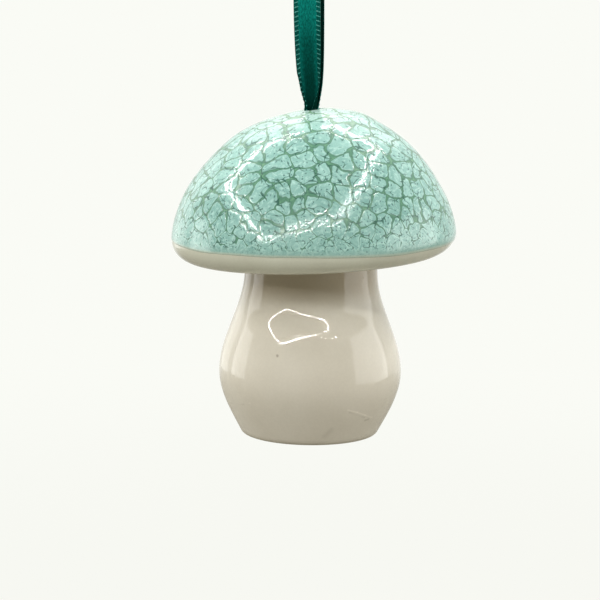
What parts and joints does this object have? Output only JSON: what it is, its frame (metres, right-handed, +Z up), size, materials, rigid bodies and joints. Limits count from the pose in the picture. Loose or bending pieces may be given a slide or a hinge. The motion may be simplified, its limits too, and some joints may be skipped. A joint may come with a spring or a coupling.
{
  "type": "mushroom ornament",
  "caption": "Hollow ceramic mushroom ornament with a crackle-glazed cap, hung by a satin ribbon loop knotted inside the crown.",
  "frame": {"origin": "centre of the stem's flat foot, on the surface that the ornament stands on", "axes": "+Z up the stem to the crown hole, +X to the viewer's right, -Y towards the viewer; the ribbon's width lies along X"},
  "size_m": [0.0676, 0.0676, 0.1539],
  "materials": {
    "cream_glaze": "gloss",
    "crackle_glaze": "gloss crackle",
    "stem_glaze": "gloss",
    "satin_ribbon": "satin",
    "knotted_ribbon": "satin"
  },
  "bodies": {
    "mushroom": {"cap": "cream_glaze", "cap_glaze": "crackle_glaze", "stem": "stem_glaze"},
    "knot": {"ribbon_knot": "knotted_ribbon"},
    "loop": {"hanging_ribbon": "satin_ribbon"}
  },
  "joints": [
    {"name": "knot_swivel", "type": "hinge", "parent": "mushroom", "child": "knot", "pos_m": [0, 0, 0.07877], "axis": [0, 0, 1], "continuous": true},
    {"name": "ribbon_flop", "type": "hinge", "parent": "knot", "child": "loop", "pos_m": [0, 0, 0.07877], "axis": [1, 0, 0], "range_deg": [-75, 75]}
  ]
}
